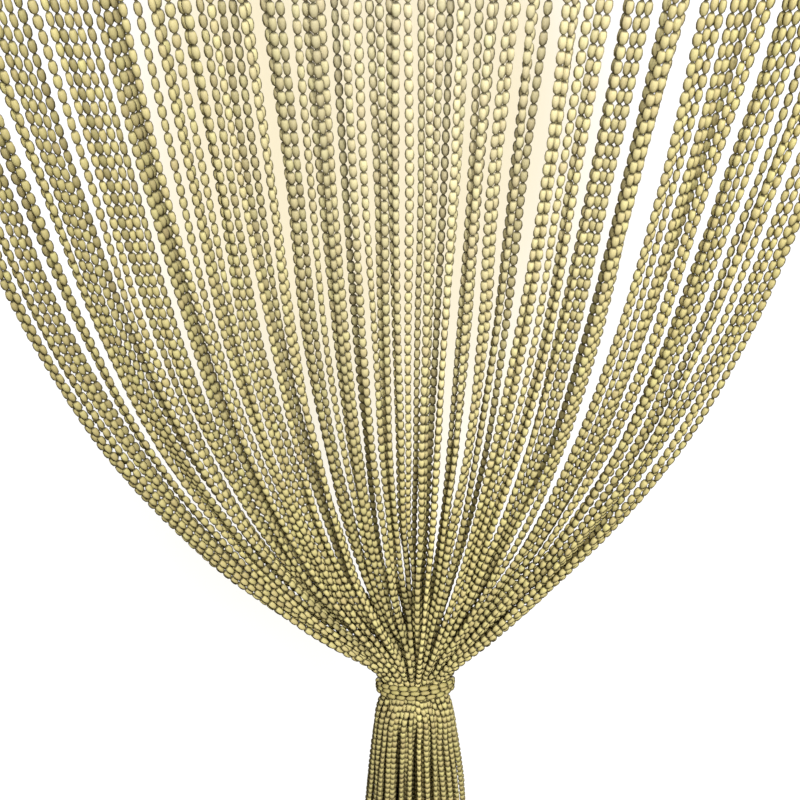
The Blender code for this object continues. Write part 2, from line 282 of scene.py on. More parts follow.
def wished_places():
    """Where each strand would run at each row of the fan if it met no other."""
    heights, left, right, depth, radius = fan_columns()
    across = heading_places() - WAIST_X
    side = np.where(across < 0, left[0], right[0])
    heading_share = across / side
    waist = waist_places()
    waist_share = waist[:, 0] / WAIST_HALF_WIDTH
    depth_share = waist[:, 1] / WAIST_HALF_DEPTH
    rng = np.random.default_rng(WANDER_SEED)
    wander = rng.normal(0.0, WANDER, (len(heights), STRANDS, 2))
    places = np.zeros((len(heights), STRANDS, 2))
    bunched = bunch_shift()
    for k, height in enumerate(heights):
        opened = min(max(height / SPREAD_REACH, 0.0), 1.0)
        blend = opened * opened * (3 - 2 * opened)
        share = waist_share + (heading_share - waist_share) * blend
        if height < WAIST_BOTTOM:
            share = np.sign(share) * np.abs(share) ** TAIL_EVENNESS
        slanted = height + SLANT * blend * depth_share * depth[k]
        left_edge = np.interp(-slanted, -heights, left)
        right_edge = np.interp(-slanted, -heights, right)
        edge = np.where(share < 0, left_edge, right_edge)
        places[k, :, 0] = share * edge + gap_shift(height) + bunched[k]
        places[k, :, 1] = depth_share * depth[k]
        places[k] += furrow_shift(height, places[k, :, 0], places[k, :, 1])
        if 0 < k and not WAIST_BOTTOM < height < WAIST_TOP:
            places[k] += wander[k]
    return places


# %% Push the strands apart
def push_apart(wished):
    """Moves strands that would touch, mostly forwards and backwards."""
    heights, left, right, depth, radius = fan_columns()
    places = wished.copy()
    radius_need = WAIST_CLEARANCE + (CLEARANCE - WAIST_CLEARANCE) * (
        (radius - WAIST_RADIUS_SHARE) / (1 - WAIST_RADIUS_SHARE))
    itself = np.eye(STRANDS) * FAR_APART
    for turn in range(PUSH_ROUNDS):
        pull_share = max(0.0, 1 - turn / PULL_ROUNDS)
        moves = np.zeros_like(places)
        for k in range(len(heights) - 1):
            rise = heights[k] - heights[k + 1]
            lean = (places[k, :, 0] - places[k + 1, :, 0]) / rise
            upright = 1 / np.sqrt(1 + lean * lean)
            cosine = (upright[:, None] + upright[None, :]) / 2
            for share in PUSH_SHARES:
                here = (1 - share) * places[k] + share * places[k + 1]
                need = (1 - share) * radius_need[k] + share * radius_need[k + 1]
                dx = (here[:, None, 0] - here[None, :, 0]) * cosine
                dy = here[:, None, 1] - here[None, :, 1]
                apart = np.sqrt(dx * dx + dy * dy) + itself + NOT_ZERO
                short = np.maximum(need - apart, 0.0) * PUSH_STEP
                step_x = (short * dx / apart).sum(axis=1)
                step_y = (short * dy / apart).sum(axis=1)
                step = np.stack((step_x, step_y), axis=1)
                moves[k] += step * (1 - share)
                moves[k + 1] += step * share
        moves[0] = 0
        places += moves
        pull = (wished - places) * pull_share
        pull[0] = 0
        places[:, :, 0] += pull[:, :, 0] * PULL_BACK_ACROSS
        places[:, :, 1] += pull[:, :, 1] * PULL_BACK_DEPTH
        for k in np.flatnonzero((WAIST_BOTTOM < heights) & (heights < WAIST_TOP)):
            edge = np.where(places[k, :, 0] < 0, left[k], right[k]) + HELD_MARGIN_ACROSS
            reach = np.hypot(places[k, :, 0] / edge, places[k, :, 1] / (depth[k] + HELD_MARGIN_DEEP))
            places[k] /= np.maximum(reach, 1.0)[:, None]
    return places


places = push_apart(wished_places())
print("strands laid out:", places.shape[1], "at", places.shape[0], "heights")

# %% [markdown]
# ## One smooth line for each strand
# The table has only a few heights, so a curve through them rounds the corners. Measuring
# along that curve matters more than it seems: beads are strung at an even pitch along the
# thread, so on a slanting strand they must not be spaced by height.


# %% Smooth lines
LINE_STEP = 0.002
LINE_BELOW = 0.06


def smooth(heights, values, wanted):
    """A soft curve through the values, which never swings past them by much."""
    slopes = np.gradient(values, heights, axis=0)
    k = np.clip(np.searchsorted(-heights, -wanted) - 1, 0, len(heights) - 2)
    span = heights[k + 1] - heights[k]
    t = ((wanted - heights[k]) / span)[:, None]
    a, b = values[k], values[k + 1]
    slope_a, slope_b = slopes[k] * span[:, None], slopes[k + 1] * span[:, None]
    return (a * (1 + 2 * t) * (1 - t) ** 2 + slope_a * t * (1 - t) ** 2
            + b * t * t * (3 - 2 * t) + slope_b * t * t * (t - 1))


def strand_lines():
    """Each strand's fine points and the length of thread down to each of them."""
    heights = fan_columns()[0]
    rng = np.random.default_rng(WANDER_SEED + 1)
    lengths = STRAND_LENGTH + rng.uniform(-LENGTH_SPREAD, LENGTH_SPREAD, STRANDS)
    wanted = np.arange(heights[0], heights[-1] - LINE_BELOW, -LINE_STEP)
    lines = []
    for i in range(STRANDS):
        inside = np.maximum(wanted, heights[-1])
        flat = smooth(heights, places[:, i], inside)
        points = np.column_stack((flat[:, 0] + WAIST_X, flat[:, 1], wanted + WAIST_Z))
        run = np.concatenate(([0.0], np.cumsum(np.linalg.norm(np.diff(points, axis=0), axis=1))))
        lines.append((points, run, lengths[i]))
    return lines


lines = strand_lines()
for words, i in (("outermost", 0), ("middle", STRANDS // 2)):
    down = np.interp(-WAIST_Z, -lines[i][0][:, 2], lines[i][1])
    print("thread down to the waist on the", words, "strand:", round(float(down), 3), "m")

# %% [markdown]
# ## The beads
# Each bead is a flattened barrel with blunt ends, about 7 by 11 mm, and a small round neck
# links it to the next. A strand is made as one turned tube whose radius swells and shrinks
# along the thread. That needs far fewer faces than separate beads and leaves no loose ends.
# A small extra ring rounds off the first bead of each tube. Beads in the fan get the most
# faces, and those in the heart of the tail the fewest.

# %% Bead profiles
PITCH = 0.0120
BEAD_FLATNESS = 0.10
BEAD_SIZE_SPREAD = 0.05
BEAD_SIZE_LIMIT = 0.10
PHASE_SPREAD = 0.38
TWIST_PER_METRE = 5.0

END_STEP = 0.0007
END_RADIUS = 0.0011

BARREL_ROUND = (
    # share of the pitch, radius
    (0.040, 0.00110),
    (0.055, 0.00195),
    (0.150, 0.00270),
    (0.300, 0.00320),
    (0.475, 0.00335),
    (0.650, 0.00320),
    (0.800, 0.00270),
    (0.895, 0.00195),
    (0.910, 0.00110),
    (0.945, 0.00160),
    (1.005, 0.00160),
)
BARREL_FINE = (
    # share of the pitch, radius
    (0.040, 0.00180),
    (0.170, 0.00292),
    (0.470, 0.00346),
    (0.770, 0.00292),
    (0.900, 0.00180),
    (0.970, 0.00095),
)
BARREL_PLAIN = (
    # share of the pitch, radius
    (0.040, 0.00215),
    (0.240, 0.00330),
    (0.700, 0.00330),
    (0.900, 0.00215),
    (0.970, 0.00110),
)
BARREL_COARSE = (
    # share of the pitch, radius
    (0.120, 0.00250),
    (0.470, 0.00345),
    (0.820, 0.00250),
    (0.970, 0.00130),
)
BARREL_HIDDEN = (
    # share of the pitch, radius
    (0.200, 0.00310),
    (0.740, 0.00310),
    (0.970, 0.00150),
)


# %% Turn a tube along a line
A_BIT = 0.001


def frames_along(points, run, at, across):
    """Places along a line, with two directions across it, the first square to across."""
    spots = np.stack([np.interp(at, run, points[:, axis]) for axis in range(3)], axis=1)
    ahead = np.stack([np.interp(at + A_BIT, run, points[:, axis]) for axis in range(3)], axis=1)
    back = np.stack([np.interp(at - A_BIT, run, points[:, axis]) for axis in range(3)], axis=1)
    way = ahead - back
    way /= np.linalg.norm(way, axis=1)[:, None]
    side = np.cross(way, np.array(across))
    side /= np.linalg.norm(side, axis=1)[:, None]
    return spots, side, np.cross(side, way)


def bead_tube(points, run, start, stop, profile, sides, rng, turn, across=(0.0, 1.0, 0.0)):
    """One string of beads as rings: corner places, quads, caps and two measures."""
    count = int((stop - start) / PITCH)
    shares = np.array([share for share, radius in profile])
    radii = np.array([radius for share, radius in profile])
    index = np.repeat(np.arange(count), len(profile))
    at = start + (index + np.tile(shares, count)) * PITCH
    sizes = 1 + rng.normal(0.0, BEAD_SIZE_SPREAD, count).clip(-BEAD_SIZE_LIMIT, BEAD_SIZE_LIMIT)
    radius = np.tile(radii, count) * sizes[index]
    index = np.concatenate(([0], index))
    at = np.concatenate(([at[0] - END_STEP], at))
    radius = np.concatenate(([END_RADIUS], radius))
    spots, side, front = frames_along(points, run, at, across)
    drift = turn[0] + turn[1] * at
    angle = np.arange(sides) * 2 * math.pi / sides
    wide = (1 + BEAD_FLATNESS) * np.cos(angle)[None, :]
    thin = (1 - BEAD_FLATNESS) * np.sin(angle)[None, :]
    turned_x = wide * np.cos(drift)[:, None] - thin * np.sin(drift)[:, None]
    turned_y = wide * np.sin(drift)[:, None] + thin * np.cos(drift)[:, None]
    corners = (spots[:, None, :] + radius[:, None, None]
               * (turned_x[:, :, None] * side[:, None, :] + turned_y[:, :, None] * front[:, None, :]))
    rings = len(at)
    ring = np.arange(rings - 1)[:, None] * sides
    here = np.arange(sides)[None, :]
    after = (here + 1) % sides
    quads = np.stack((ring + here, ring + after, ring + after + sides, ring + here + sides), axis=2)
    quads = quads.reshape(-1, 4)
    caps = [list(range(sides))[::-1], list(range((rings - 1) * sides, rings * sides))]
    along = np.repeat((at - start) / PITCH, sides)
    tone = np.repeat(rng.normal(0.0, 1.0, count)[index][:-1], sides)
    return corners.reshape(-1, 3), quads, caps, along, tone


# %% [markdown]
# ## Shade in the fan
# A string at the back of the fan, or down in a furrow, gets less light than one in front.
# The lamps do part of that. The rest is painted shade, and strings on the left get painted
# shade too. It is measured here for each corner of the mesh and stored with it as an attribute,
# which the material reads later. That costs no faces, and unlike an image it stays sharp at any
# distance.

# %% Shade in the fan
# Painted shade on strings at the back of the fan and in the furrows: how deep it gets.
BACK_SHADE = 1.8
FURROW_SHADE = 5.0
# Painted shade on the rims of the beads, where they turn away from the view: how much shows at each
# height.
RIM_ROWS = (
    # height above waist, how much of the painted rim shade shows
    (1.332, 0.65),
    (0.850, 0.75),
    (0.550, 0.86),
    (0.250, 1.00),
    (-0.020, 1.00),
    (-0.060, 0.60),
    (-0.700, 0.60),
)
# Painted shade on strings on the left: how deep it gets, and how far left of the middle it is deepest.
LEFT_SHADE = 4.0
LEFT_REACH = 0.32
# Painted light that pales the beads at the top of the middle: how much rim shade it takes away, how far
# across it reaches, and the heights where it starts and is full.
PALE_RIM = 0.35
PALE_REACH = 0.17
PALE_HEIGHTS = (0.30, 0.90)


def string_shade(corners, string, depth_share):
    """How light a string is at each corner: strings at the back, in furrows and on the left get painted
    shade.
    """
    across = corners[:, 0] - WAIST_X
    height = corners[:, 2] - WAIST_Z
    shade = np.full(len(corners), string - BACK_SHADE * depth_share)
    for low, high, low_place, high_place, half_width, backwards, opening in FURROW_ROWS:
        share = ((height - low) / (high - low)).clip(0.0, 1.0)
        middle = low_place + (high_place - low_place) * share
        inside = np.sin(share * math.pi) ** 0.5
        shade -= FURROW_SHADE * inside * np.exp(-((across - middle) / half_width) ** 2)
    return shade - LEFT_SHADE * (-across / LEFT_REACH).clip(0.0, 1.0)


def painted_light(corners):
    """How much painted light pales the beads at each corner: most at the top of the middle."""
    across = corners[:, 0] - WAIST_X
    height = corners[:, 2] - WAIST_Z
    return np.interp(height, PALE_HEIGHTS, (0.0, 1.0)) * np.exp(-(across / PALE_REACH) ** 2)


def rim_shade(corners):
    """How much of the painted rim shade shows at each corner: least where painted light pales the
    beads.
    """
    rows = np.array(RIM_ROWS[::-1]).T
    return np.interp(corners[:, 2] - WAIST_Z, rows[0], rows[1]) - PALE_RIM * painted_light(corners)


# %% Join many tubes in one mesh
def joined_mesh(name, tubes):
    """One object from many tubes, with the measures that its material reads."""
    corners = []
    faces = []
    along = []
    tone = []
    string_tone_and_shade = []
    first = 0
    for tube_corners, quads, caps, tube_along, tube_tone, string in tubes:
        corners.append(tube_corners)
        faces += (quads[:, ::-1] + first).tolist()
        faces += [[corner + first for corner in cap[::-1]] for cap in caps]
        along.append(tube_along)
        tone.append(np.concatenate((tube_tone, tube_tone[:1], tube_tone[-1:])))
        string_tone_and_shade.append(string)
        first += len(tube_corners)
    mesh = bpy.data.meshes.new(name)
    mesh.from_pydata(np.concatenate(corners).tolist(), [], faces)
    mesh.attributes.new("along", "FLOAT", "POINT").data.foreach_set("value", np.concatenate(along))
    mesh.attributes.new("bead_tone", "FLOAT", "FACE").data.foreach_set("value", np.concatenate(tone))
    # Each string's random tone, with painted shade at the back, in furrows and on the left.
    mesh.attributes.new("string_tone_and_shade", "FLOAT", "POINT").data.foreach_set(
        "value", np.concatenate(string_tone_and_shade))
    mesh.attributes.new("rim_shade", "FLOAT", "POINT").data.foreach_set(
        "value", rim_shade(np.concatenate(corners)))
    # Painted light that pales the beads at the top of the middle.
    mesh.attributes.new("painted_light", "FLOAT", "POINT").data.foreach_set(
        "value", painted_light(np.concatenate(corners)))
    mesh.shade_smooth()
    made = bpy.data.objects.new(name, mesh)
    bpy.context.scene.collection.objects.link(made)
    triangles = sum(len(face) - 2 for face in faces)
    print(name, "has", triangles, "triangles")
    return made, triangles


# %% Zones of the strands
HEADING_GAP = 0.004
ZONE_ROWS = (
    # piece, which strands, heights from, to, barrel, sides
    ("strings_top", "all", 1.332, 0.890, BARREL_COARSE, 5),
    ("strings_fan_1", "first", 0.890, -0.030, BARREL_FINE, 6),
    ("strings_fan_2", "second", 0.890, -0.030, BARREL_FINE, 6),
    ("strings_fan_3", "third", 0.890, -0.030, BARREL_FINE, 6),
    ("strings_fan_4", "fourth", 0.890, -0.030, BARREL_FINE, 6),
    ("strings_tail_outside", "outside", -0.030, -0.700, BARREL_PLAIN, 6),
    ("strings_tail_inside", "inside", -0.030, -0.700, BARREL_HIDDEN, 4),
)
TAIL_HEIGHT = -0.220
OUTSIDE_STRANDS = 46
STRAND_SEED = 1000
ROUND_OFF = 1e-6


def strand_sets():
    """The strands of each zone: quarters from left to right, and the tail's skin and heart."""
    heights = fan_columns()[0]
    tail = places[np.flatnonzero(heights == TAIL_HEIGHT)[0]]
    middle = tail.mean(axis=0)
    half = np.abs(tail - middle).max(axis=0)
    reach = np.hypot(*((tail - middle) / half).T)
    order = np.argsort(-reach)
    quarter = STRANDS // 4
    sets = {name: range(k * quarter, (k + 1) * quarter)
            for k, name in enumerate(("first", "second", "third", "fourth"))}
    sets["all"] = range(STRANDS)
    sets["outside"] = sorted(order[:OUTSIDE_STRANDS].tolist())
    sets["inside"] = sorted(order[OUTSIDE_STRANDS:].tolist())
    return sets


def strand_zone(name, chosen, high, low, profile, sides):
    """The beads of some strands between two heights above the waist."""
    tubes = []
    depth_share = waist_places()[:, 1] / WAIST_HALF_DEPTH
    for i in strand_sets()[chosen]:
        points, run, length = lines[i]
        rng = np.random.default_rng(STRAND_SEED + i)
        phase = HEADING_GAP + PITCH * rng.uniform(0, PHASE_SPREAD)
        string = rng.normal(0.0, 1.0)
        turn = (rng.uniform(0, 2 * math.pi), rng.normal(0.0, TWIST_PER_METRE))
        heights = points[:, 2] - WAIST_Z
        start, stop = np.interp((-high, -low), -heights, run)
        stop = min(stop, length)
        start = phase + math.ceil((start - phase) / PITCH - ROUND_OFF) * PITCH
        stop = phase + math.ceil((stop - phase) / PITCH - ROUND_OFF) * PITCH
        if stop > length:
            stop -= PITCH
        tube = bead_tube(points, run, start, stop + ROUND_OFF, profile, sides, rng, turn)
        tubes.append((*tube, string_shade(tube[0], string, depth_share[i])))
    return joined_mesh(name, tubes)


strings = []
total = 0
for row in ZONE_ROWS:
    made, triangles = strand_zone(*row)
    strings.append(made)
    total += triangles
print("all strings:", total, "triangles")

# %% [markdown]
# ## The tie
# The tie is a string of the same beads, wound three times round the waist. Each turn lies
# a bead's thickness below the one before and a touch further out, and the whole tie sits a
# little higher at the front than at the back.

# %% Wind the tie
TIE_HALF_WIDTH = 0.0436
TIE_HALF_DEPTH = 0.0225
TIE_TURNS = 3.15
TIE_START = math.radians(40)
TIE_MIDDLE = 0.007
TIE_RISE = 0.0062
TIE_TILT = 0.0180
TIE_LEAN = 0.0040
TIE_FLARE_ACROSS = 0.0003
TIE_FLARE_DEEP = 0.0025
TIE_STEPS_PER_TURN = 120
TIE_SIDES = 10
TIE_TWIST = (0.0, 2.0)
TIE_TONE = 0.6
TIE_SEED = 7
UPWARDS = (0.0, 0.0, 1.0)


def tie_line():
    """The tie's middle line and the length of thread along it."""
    steps = round(TIE_TURNS * TIE_STEPS_PER_TURN)
    turn = TIE_TURNS * np.arange(steps + 1) / steps
    angle = TIE_START + 2 * math.pi * turn
    x = WAIST_X + (TIE_HALF_WIDTH + TIE_FLARE_ACROSS * turn) * np.cos(angle)
    y = (TIE_HALF_DEPTH + TIE_FLARE_DEEP * turn) * np.sin(angle)
    fall = TIE_RISE * (turn - TIE_TURNS / 2)
    z = WAIST_Z + TIE_MIDDLE - fall - TIE_TILT * np.sin(angle) + TIE_LEAN * np.cos(angle)
    points = np.column_stack((x, y, z))
    run = np.concatenate(([0.0], np.cumsum(np.linalg.norm(np.diff(points, axis=0), axis=1))))
    return points, run


tie_points, tie_run = tie_line()
tie_rng = np.random.default_rng(TIE_SEED)
tie_tube = bead_tube(tie_points, tie_run, 0.0, tie_run[-1], BARREL_ROUND, TIE_SIDES, tie_rng, TIE_TWIST,
                     UPWARDS)
tie, tie_triangles = joined_mesh("tie_string", [(*tie_tube, np.full(len(tie_tube[0]), TIE_TONE))])
print("the tie's thread is", round(float(tie_run[-1]), 3), "m long")
print("strings and tie:", total + tie_triangles, "triangles")

# %% [markdown]
# ## The heading tape and its threads
# Above the beads the thread runs up into a woven tape, folded once and sewn along both edges.
# The tape is a rounded strip, and the stitches are small rods laid along it.

# %% Tape
TAPE_ROUNDING = 0.0012
TAPE_ROUNDING_STEPS = 3
STITCH_LENGTH = 0.0032
STITCH_PITCH = 0.0050
STITCH_RADIUS = 0.00035
STITCH_EDGE = 0.0035
STITCH_SIDES = 6
THREAD_RADIUS = 0.0006
THREAD_SIDES = 5


def rounded_strip(name):
    """The tape: a box of the tape's size with its long edges rounded."""
    bpy.ops.mesh.primitive_cube_add(size=1.0, location=(0.0, 0.0, -HEADING_HEIGHT / 2))
    strip = bpy.context.object
    strip.name = name
    strip.data.name = name
    strip.scale = (HEADING_WIDTH, HEADING_THICKNESS, HEADING_HEIGHT)
    bpy.ops.object.transform_apply(location=True, rotation=False, scale=True)
    rounding = strip.modifiers.new("rounded edges", "BEVEL")
    rounding.width = TAPE_ROUNDING
    rounding.segments = TAPE_ROUNDING_STEPS
    strip.data.shade_smooth()
    return strip


def rods(name, starts, stops, radius, sides):
    """Many short closed rods as one object."""
    angle = np.arange(sides) * 2 * math.pi / sides
    corners = []
    faces = []
    for start, stop in zip(starts, stops):
        way = (stop - start) / np.linalg.norm(stop - start)
        side = np.cross(way, np.array((0.0, 1.0, 0.0)))
        side /= np.linalg.norm(side)
        front = np.cross(side, way)
        ring = radius * (np.cos(angle)[:, None] * side + np.sin(angle)[:, None] * front)
        first = len(corners) * sides
        corners += [start + ring, stop + ring]
        for k in range(sides):
            after = (k + 1) % sides
            faces.append((first + k, first + sides + k, first + sides + after, first + after))
        faces.append(tuple(range(first, first + sides)))
        faces.append(tuple(range(first + 2 * sides - 1, first + sides - 1, -1)))
    mesh = bpy.data.meshes.new(name)
    mesh.from_pydata(np.concatenate(corners).tolist(), [], faces)
    mesh.shade_smooth()
    made = bpy.data.objects.new(name, mesh)
    bpy.context.scene.collection.objects.link(made)
    return made


tape = rounded_strip("heading_tape")
stitch_x = np.arange(-HEADING_WIDTH / 2 + STITCH_PITCH, HEADING_WIDTH / 2 - STITCH_PITCH, STITCH_PITCH)
stitch_starts = []
stitch_stops = []
for z in (-STITCH_EDGE, -HEADING_HEIGHT + STITCH_EDGE):
    for y in (-HEADING_THICKNESS / 2, HEADING_THICKNESS / 2):
        for x in stitch_x:
            stitch_starts.append(np.array((x, y, z)))
            stitch_stops.append(np.array((x + STITCH_LENGTH, y, z)))
stitches = rods("heading_stitches", stitch_starts, stitch_stops, STITCH_RADIUS, STITCH_SIDES)
thread_starts = []
thread_stops = []
for points, run, length in lines:
    thread_starts.append(points[0] + np.array((0.0, 0.0, HEADING_HEIGHT / 2)))
    reach = HEADING_GAP + PITCH / 2
    thread_stops.append(np.array([np.interp(reach, run, points[:, axis]) for axis in range(3)]))
threads = rods("heading_threads", thread_starts, thread_stops, THREAD_RADIUS, THREAD_SIDES)
print("tape with", len(stitch_starts), "stitches and", len(thread_starts), "threads")

# %% [markdown]
# ## Finishes
# The beads are moulded in khaki plastic with a satin skin. No two come out quite alike, and
# the necks between them get painted shade. One node group holds that for both the strings
# and the tie, and each material feeds it its own colours. The beads get painted shade where
# they turn away, strings at the back, in the furrows and on the left get painted shade, and
# painted light makes the beads at the top of the middle, with the most light around them, look paler.


# %% Node helpers
def new_material(name):
    """A material, its node tree and its shader."""
    finish = bpy.data.materials.new(name)
    finish.use_nodes = True
    return finish, finish.node_tree, finish.node_tree.nodes["Principled BSDF"]


def add_node(tree, kind, **settings):
    """A node of a kind with some of its settings made."""
    node = tree.nodes.new(kind)
    for key, value in settings.items():
        setattr(node, key, value)
    return node


def group_sockets(group, ins, outs):
    """Names a group's inputs with their defaults, and its outputs."""
    for name, kind, value in ins:
        socket = group.interface.new_socket(name, in_out="INPUT", socket_type=kind)
        socket.default_value = value
    for name, kind in outs:
        group.interface.new_socket(name, in_out="OUTPUT", socket_type=kind)


# %% Moulded bead group
HUE_SAME = 0.5
HUE_BY_BEAD = 0.003
NECK_DULLNESS = 0.35
GRAIN_SCALE = 700.0
GRAIN_DETAIL = 2.0
# Painted shade in the necks between the beads, along the pitch.
NECK_SHADE_STOPS = (
    # share of the pitch, how deep in shadow
    (0.000, 0.90),
    (0.025, 1.00),
    (0.065, 0.35),
    (0.110, 0.00),
    (0.840, 0.00),
    (0.890, 0.35),
    (0.925, 1.00),
    (0.970, 0.90),
)


def moulded_bead_group():
    """Colour, roughness and height of moulded beads, with painted shade in the necks, from their place
    on the thread.
    """
    group = bpy.data.node_groups.new("moulded beads", "ShaderNodeTree")
    group_sockets(
        group,
        (
            ("Colour", "NodeSocketColor", (0.5, 0.45, 0.2, 1.0)),
            ("Neck Shade Colour", "NodeSocketColor", (0.1, 0.08, 0.02, 1.0)),
            ("Along", "NodeSocketFloat", 0.0),
            ("Bead Tone", "NodeSocketFloat", 0.0),
            ("String Tone And Shade", "NodeSocketFloat", 0.0),
            ("Bead Amount", "NodeSocketFloat", 0.035),
            ("String Amount", "NodeSocketFloat", 0.065),
            ("Neck Shade Amount", "NodeSocketFloat", 0.8),
            ("Roughness", "NodeSocketFloat", 0.4),
        ),
        (
            ("Colour", "NodeSocketColor"),
            ("Roughness", "NodeSocketFloat"),
            ("Height", "NodeSocketFloat"),
        ),
    )
    feed = add_node(group, "NodeGroupInput")
    result = add_node(group, "NodeGroupOutput")
    place = add_node(group, "ShaderNodeMath", operation="FRACT")
    group.links.new(feed.outputs["Along"], place.inputs[0])
    neck = add_node(group, "ShaderNodeValToRGB")
    ramp = neck.color_ramp
    while len(ramp.elements) < len(NECK_SHADE_STOPS):
        ramp.elements.new(0.5)
    for element, (share, depth) in zip(ramp.elements, NECK_SHADE_STOPS):
        element.position = share
        element.color = (depth, depth, depth, 1.0)
    group.links.new(place.outputs[0], neck.inputs["Fac"])

    by_bead = add_node(group, "ShaderNodeMath", operation="MULTIPLY_ADD")
    by_bead.inputs[2].default_value = 1.0
    group.links.new(feed.outputs["Bead Tone"], by_bead.inputs[0])
    group.links.new(feed.outputs["Bead Amount"], by_bead.inputs[1])
    lighter = add_node(group, "ShaderNodeMath", operation="MULTIPLY_ADD")
    group.links.new(feed.outputs["String Tone And Shade"], lighter.inputs[0])
    group.links.new(feed.outputs["String Amount"], lighter.inputs[1])
    group.links.new(by_bead.outputs[0], lighter.inputs[2])
    toned = add_node(group, "ShaderNodeVectorMath", operation="SCALE")
    group.links.new(feed.outputs["Colour"], toned.inputs[0])
    group.links.new(lighter.outputs[0], toned.inputs["Scale"])

    hue = add_node(group, "ShaderNodeHueSaturation")
    turn = add_node(group, "ShaderNodeMath", operation="MULTIPLY_ADD")
    turn.inputs[1].default_value = HUE_BY_BEAD
    turn.inputs[2].default_value = HUE_SAME
    group.links.new(feed.outputs["Bead Tone"], turn.inputs[0])
    group.links.new(turn.outputs[0], hue.inputs["Hue"])
    group.links.new(toned.outputs[0], hue.inputs["Color"])

    # Painted shade in the necks: the neck ramp mixes the colour towards the near-black neck colour.
    shade = add_node(group, "ShaderNodeMath", operation="MULTIPLY")
    group.links.new(neck.outputs["Color"], shade.inputs[0])
    group.links.new(feed.outputs["Neck Shade Amount"], shade.inputs[1])
    mix = add_node(group, "ShaderNodeMix", data_type="RGBA")
    group.links.new(shade.outputs[0], mix.inputs["Factor"])
    group.links.new(hue.outputs["Color"], mix.inputs["A"])
    group.links.new(feed.outputs["Neck Shade Colour"], mix.inputs["B"])
    group.links.new(mix.outputs["Result"], result.inputs["Colour"])

    dull = add_node(group, "ShaderNodeMath", operation="MULTIPLY_ADD")
    dull.inputs[1].default_value = NECK_DULLNESS
    group.links.new(shade.outputs[0], dull.inputs[0])
    group.links.new(feed.outputs["Roughness"], dull.inputs[2])
    group.links.new(dull.outputs[0], result.inputs["Roughness"])

    grain = add_node(group, "ShaderNodeTexNoise")
    grain.inputs["Scale"].default_value = GRAIN_SCALE
    grain.inputs["Detail"].default_value = GRAIN_DETAIL
    group.links.new(grain.outputs["Fac"], result.inputs["Height"])
    return group


moulded_beads = moulded_bead_group()


# %% Bead materials
# Painted shade on the rims: where the Facing weight starts and ends it, and how it bends.
RIM_FROM = 0.27
RIM_TO = 0.82
FACING_BLEND = 0.5
GRAIN_BUMP = 0.08
GRAIN_DEPTH = 0.0004
BEAD_SHINE = 0.08
BEAD_ROUGHNESS = 0.45


def bead_material(name, colour, painted_light_colour, rim_shade_colour, neck_shade_colour):
    """Satin moulded plastic with painted shade where it turns away and in the necks, painted light at
    the top of the middle, and a little new in each bead.
    """
    finish, tree, shader = new_material(name)
    effect = add_node(tree, "ShaderNodeGroup", node_tree=moulded_beads)
    effect.inputs["Neck Shade Colour"].default_value = (*neck_shade_colour, 1.0)
    effect.inputs["Roughness"].default_value = BEAD_ROUGHNESS
    for attribute, socket in (("along", "Along"), ("bead_tone", "Bead Tone"),
                              ("string_tone_and_shade", "String Tone And Shade")):
        reader = add_node(tree, "ShaderNodeAttribute", attribute_name=attribute)
        tree.links.new(reader.outputs["Fac"], effect.inputs[socket])
    # Painted light: at the top of the middle the colour is mixed towards a paler one.
    painted_light_reader = add_node(tree, "ShaderNodeAttribute", attribute_name="painted_light")
    pale = add_node(tree, "ShaderNodeMix", data_type="RGBA")
    tree.links.new(painted_light_reader.outputs["Fac"], pale.inputs["Factor"])
    pale.inputs["A"].default_value = (*colour, 1.0)
    pale.inputs["B"].default_value = (*painted_light_colour, 1.0)
    tree.links.new(pale.outputs["Result"], effect.inputs["Colour"])
    # Painted shade on the rims: where a bead turns away from the view, its colour is mixed towards the
    # dark rim colour.
    facing = add_node(tree, "ShaderNodeLayerWeight")
    facing.inputs["Blend"].default_value = FACING_BLEND
    turned = add_node(tree, "ShaderNodeMapRange", interpolation_type="SMOOTHSTEP")
    turned.inputs["From Min"].default_value = RIM_FROM
    turned.inputs["From Max"].default_value = RIM_TO
    tree.links.new(facing.outputs["Facing"], turned.inputs["Value"])
    share = add_node(tree, "ShaderNodeAttribute", attribute_name="rim_shade")
    rimmed = add_node(tree, "ShaderNodeMath", operation="MULTIPLY")
    tree.links.new(turned.outputs["Result"], rimmed.inputs[0])
    tree.links.new(share.outputs["Fac"], rimmed.inputs[1])
    rim = add_node(tree, "ShaderNodeMix", data_type="RGBA")
    tree.links.new(rimmed.outputs[0], rim.inputs["Factor"])
    tree.links.new(effect.outputs["Colour"], rim.inputs["A"])
    rim.inputs["B"].default_value = (*rim_shade_colour, 1.0)
    tree.links.new(rim.outputs["Result"], shader.inputs["Base Color"])
    tree.links.new(effect.outputs["Roughness"], shader.inputs["Roughness"])
    bump = add_node(tree, "ShaderNodeBump")
    bump.inputs["Strength"].default_value = GRAIN_BUMP
    bump.inputs["Distance"].default_value = GRAIN_DEPTH
    tree.links.new(effect.outputs["Height"], bump.inputs["Height"])
    tree.links.new(bump.outputs["Normal"], shader.inputs["Normal"])
    shader.inputs["Specular IOR Level"].default_value = BEAD_SHINE
    return finish


# The last two colours of each material are painted shade: the dark rim colour and the near-black neck
# colour.
khaki = bead_material("khaki_beads", (0.478, 0.398, 0.114), (0.500, 0.435, 0.185),
                      (0.016, 0.011, 0.0007), (0.005, 0.0035, 0.0003))
